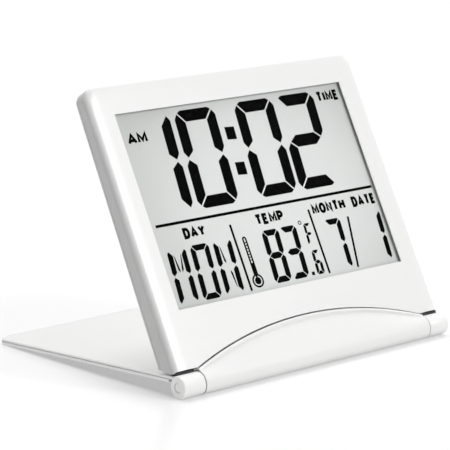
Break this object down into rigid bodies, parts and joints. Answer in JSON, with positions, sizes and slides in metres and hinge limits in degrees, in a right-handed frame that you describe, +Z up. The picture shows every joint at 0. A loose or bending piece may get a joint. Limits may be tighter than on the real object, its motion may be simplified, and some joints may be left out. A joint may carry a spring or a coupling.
{
  "type": "folding alarm clock",
  "caption": "Thin folding travel alarm clock: liquid-crystal clock body on a barrel hinge, leaning back on its own hinged cover as a stand.",
  "frame": {"origin": "middle of the clock's footprint, on the surface that it stands on", "axes": "+X along the hinge to the right as one reads the face, +Y behind the clock, +Z up"},
  "size_m": [0.114, 0.1038, 0.0925],
  "materials": {
    "white_plastic": "satin white moulded plastic",
    "clear_window": "clear acrylic, polished",
    "display_glass": "liquid-crystal cell under a matte polariser",
    "reflector_film": "silvery film",
    "grey_plastic": "matte",
    "grey_rubber": "matte silicone",
    "green_board": "green solder mask on glass-epoxy",
    "black_resin": "glossy epoxy",
    "steel": "plated",
    "cell_steel": "satin nickel",
    "brass": "sheet brass with a pale ceramic disc"
  },
  "bodies": {
    "stand": {"cover_shell": "white_plastic", "cover_inner_panel": "white_plastic", "hinge_pin_left": "white_plastic", "hinge_pin_right": "white_plastic", "friction_washer_left": "steel", "friction_washer_right": "steel"},
    "clock": {"front_bezel": "white_plastic", "rear_shell": "white_plastic", "hinge_crescent": "white_plastic", "window_lens": "clear_window", "lcd_glass": "display_glass", "lcd_reflector": "reflector_film", "lcd_carrier": "grey_plastic", "contact_strip": "grey_rubber", "main_board": "green_board", "chip_cap": "black_resin", "quartz_crystal": "steel", "thermistor": "black_resin", "buzzer_disc": "brass", "battery_cell": "cell_steel", "battery_contact_positive": "steel", "battery_contact_negative": "steel", "keypad_membrane": "grey_rubber", "case_screw_1": "steel", "case_screw_2": "steel", "case_screw_3": "steel", "case_screw_4": "steel", "hinge_screw_1": "steel", "hinge_screw_2": "steel", "board_screw_1": "steel", "board_screw_2": "steel"},
    "button_1": {"push_button_1": "white_plastic"},
    "button_2": {"push_button_2": "white_plastic"},
    "button_3": {"push_button_3": "white_plastic"},
    "button_4": {"push_button_4": "white_plastic"},
    "button_5": {"push_button_5": "white_plastic"},
    "door": {"battery_door": "white_plastic"}
  },
  "joints": [
    {"name": "clock_hinge", "type": "hinge", "parent": "stand", "child": "clock", "pos_m": [0, -0.04816, 0.0037], "axis": [1, 0, 0], "range_deg": [0, 293.87]},
    {"name": "press_1", "type": "slide", "parent": "clock", "child": "button_1", "axis": [0, -0.903, 0.4296], "range_m": [0, 0.0006], "stiffness_N_per_m": 1500},
    {"name": "press_2", "type": "slide", "parent": "clock", "child": "button_2", "axis": [0, -0.903, 0.4296], "range_m": [0, 0.0006], "stiffness_N_per_m": 1500},
    {"name": "press_3", "type": "slide", "parent": "clock", "child": "button_3", "axis": [0, -0.903, 0.4296], "range_m": [0, 0.0006], "stiffness_N_per_m": 1500},
    {"name": "press_4", "type": "slide", "parent": "clock", "child": "button_4", "axis": [0, -0.903, 0.4296], "range_m": [0, 0.0006], "stiffness_N_per_m": 1500},
    {"name": "press_5", "type": "slide", "parent": "clock", "child": "button_5", "axis": [0, -0.903, 0.4296], "range_m": [0, 0.0006], "stiffness_N_per_m": 1500},
    {"name": "door_turn", "type": "hinge", "parent": "clock", "child": "door", "pos_m": [0.026, -0.02558, 0.03476], "axis": [0, 0.903, -0.4296], "range_deg": [0, 45]}
  ]
}
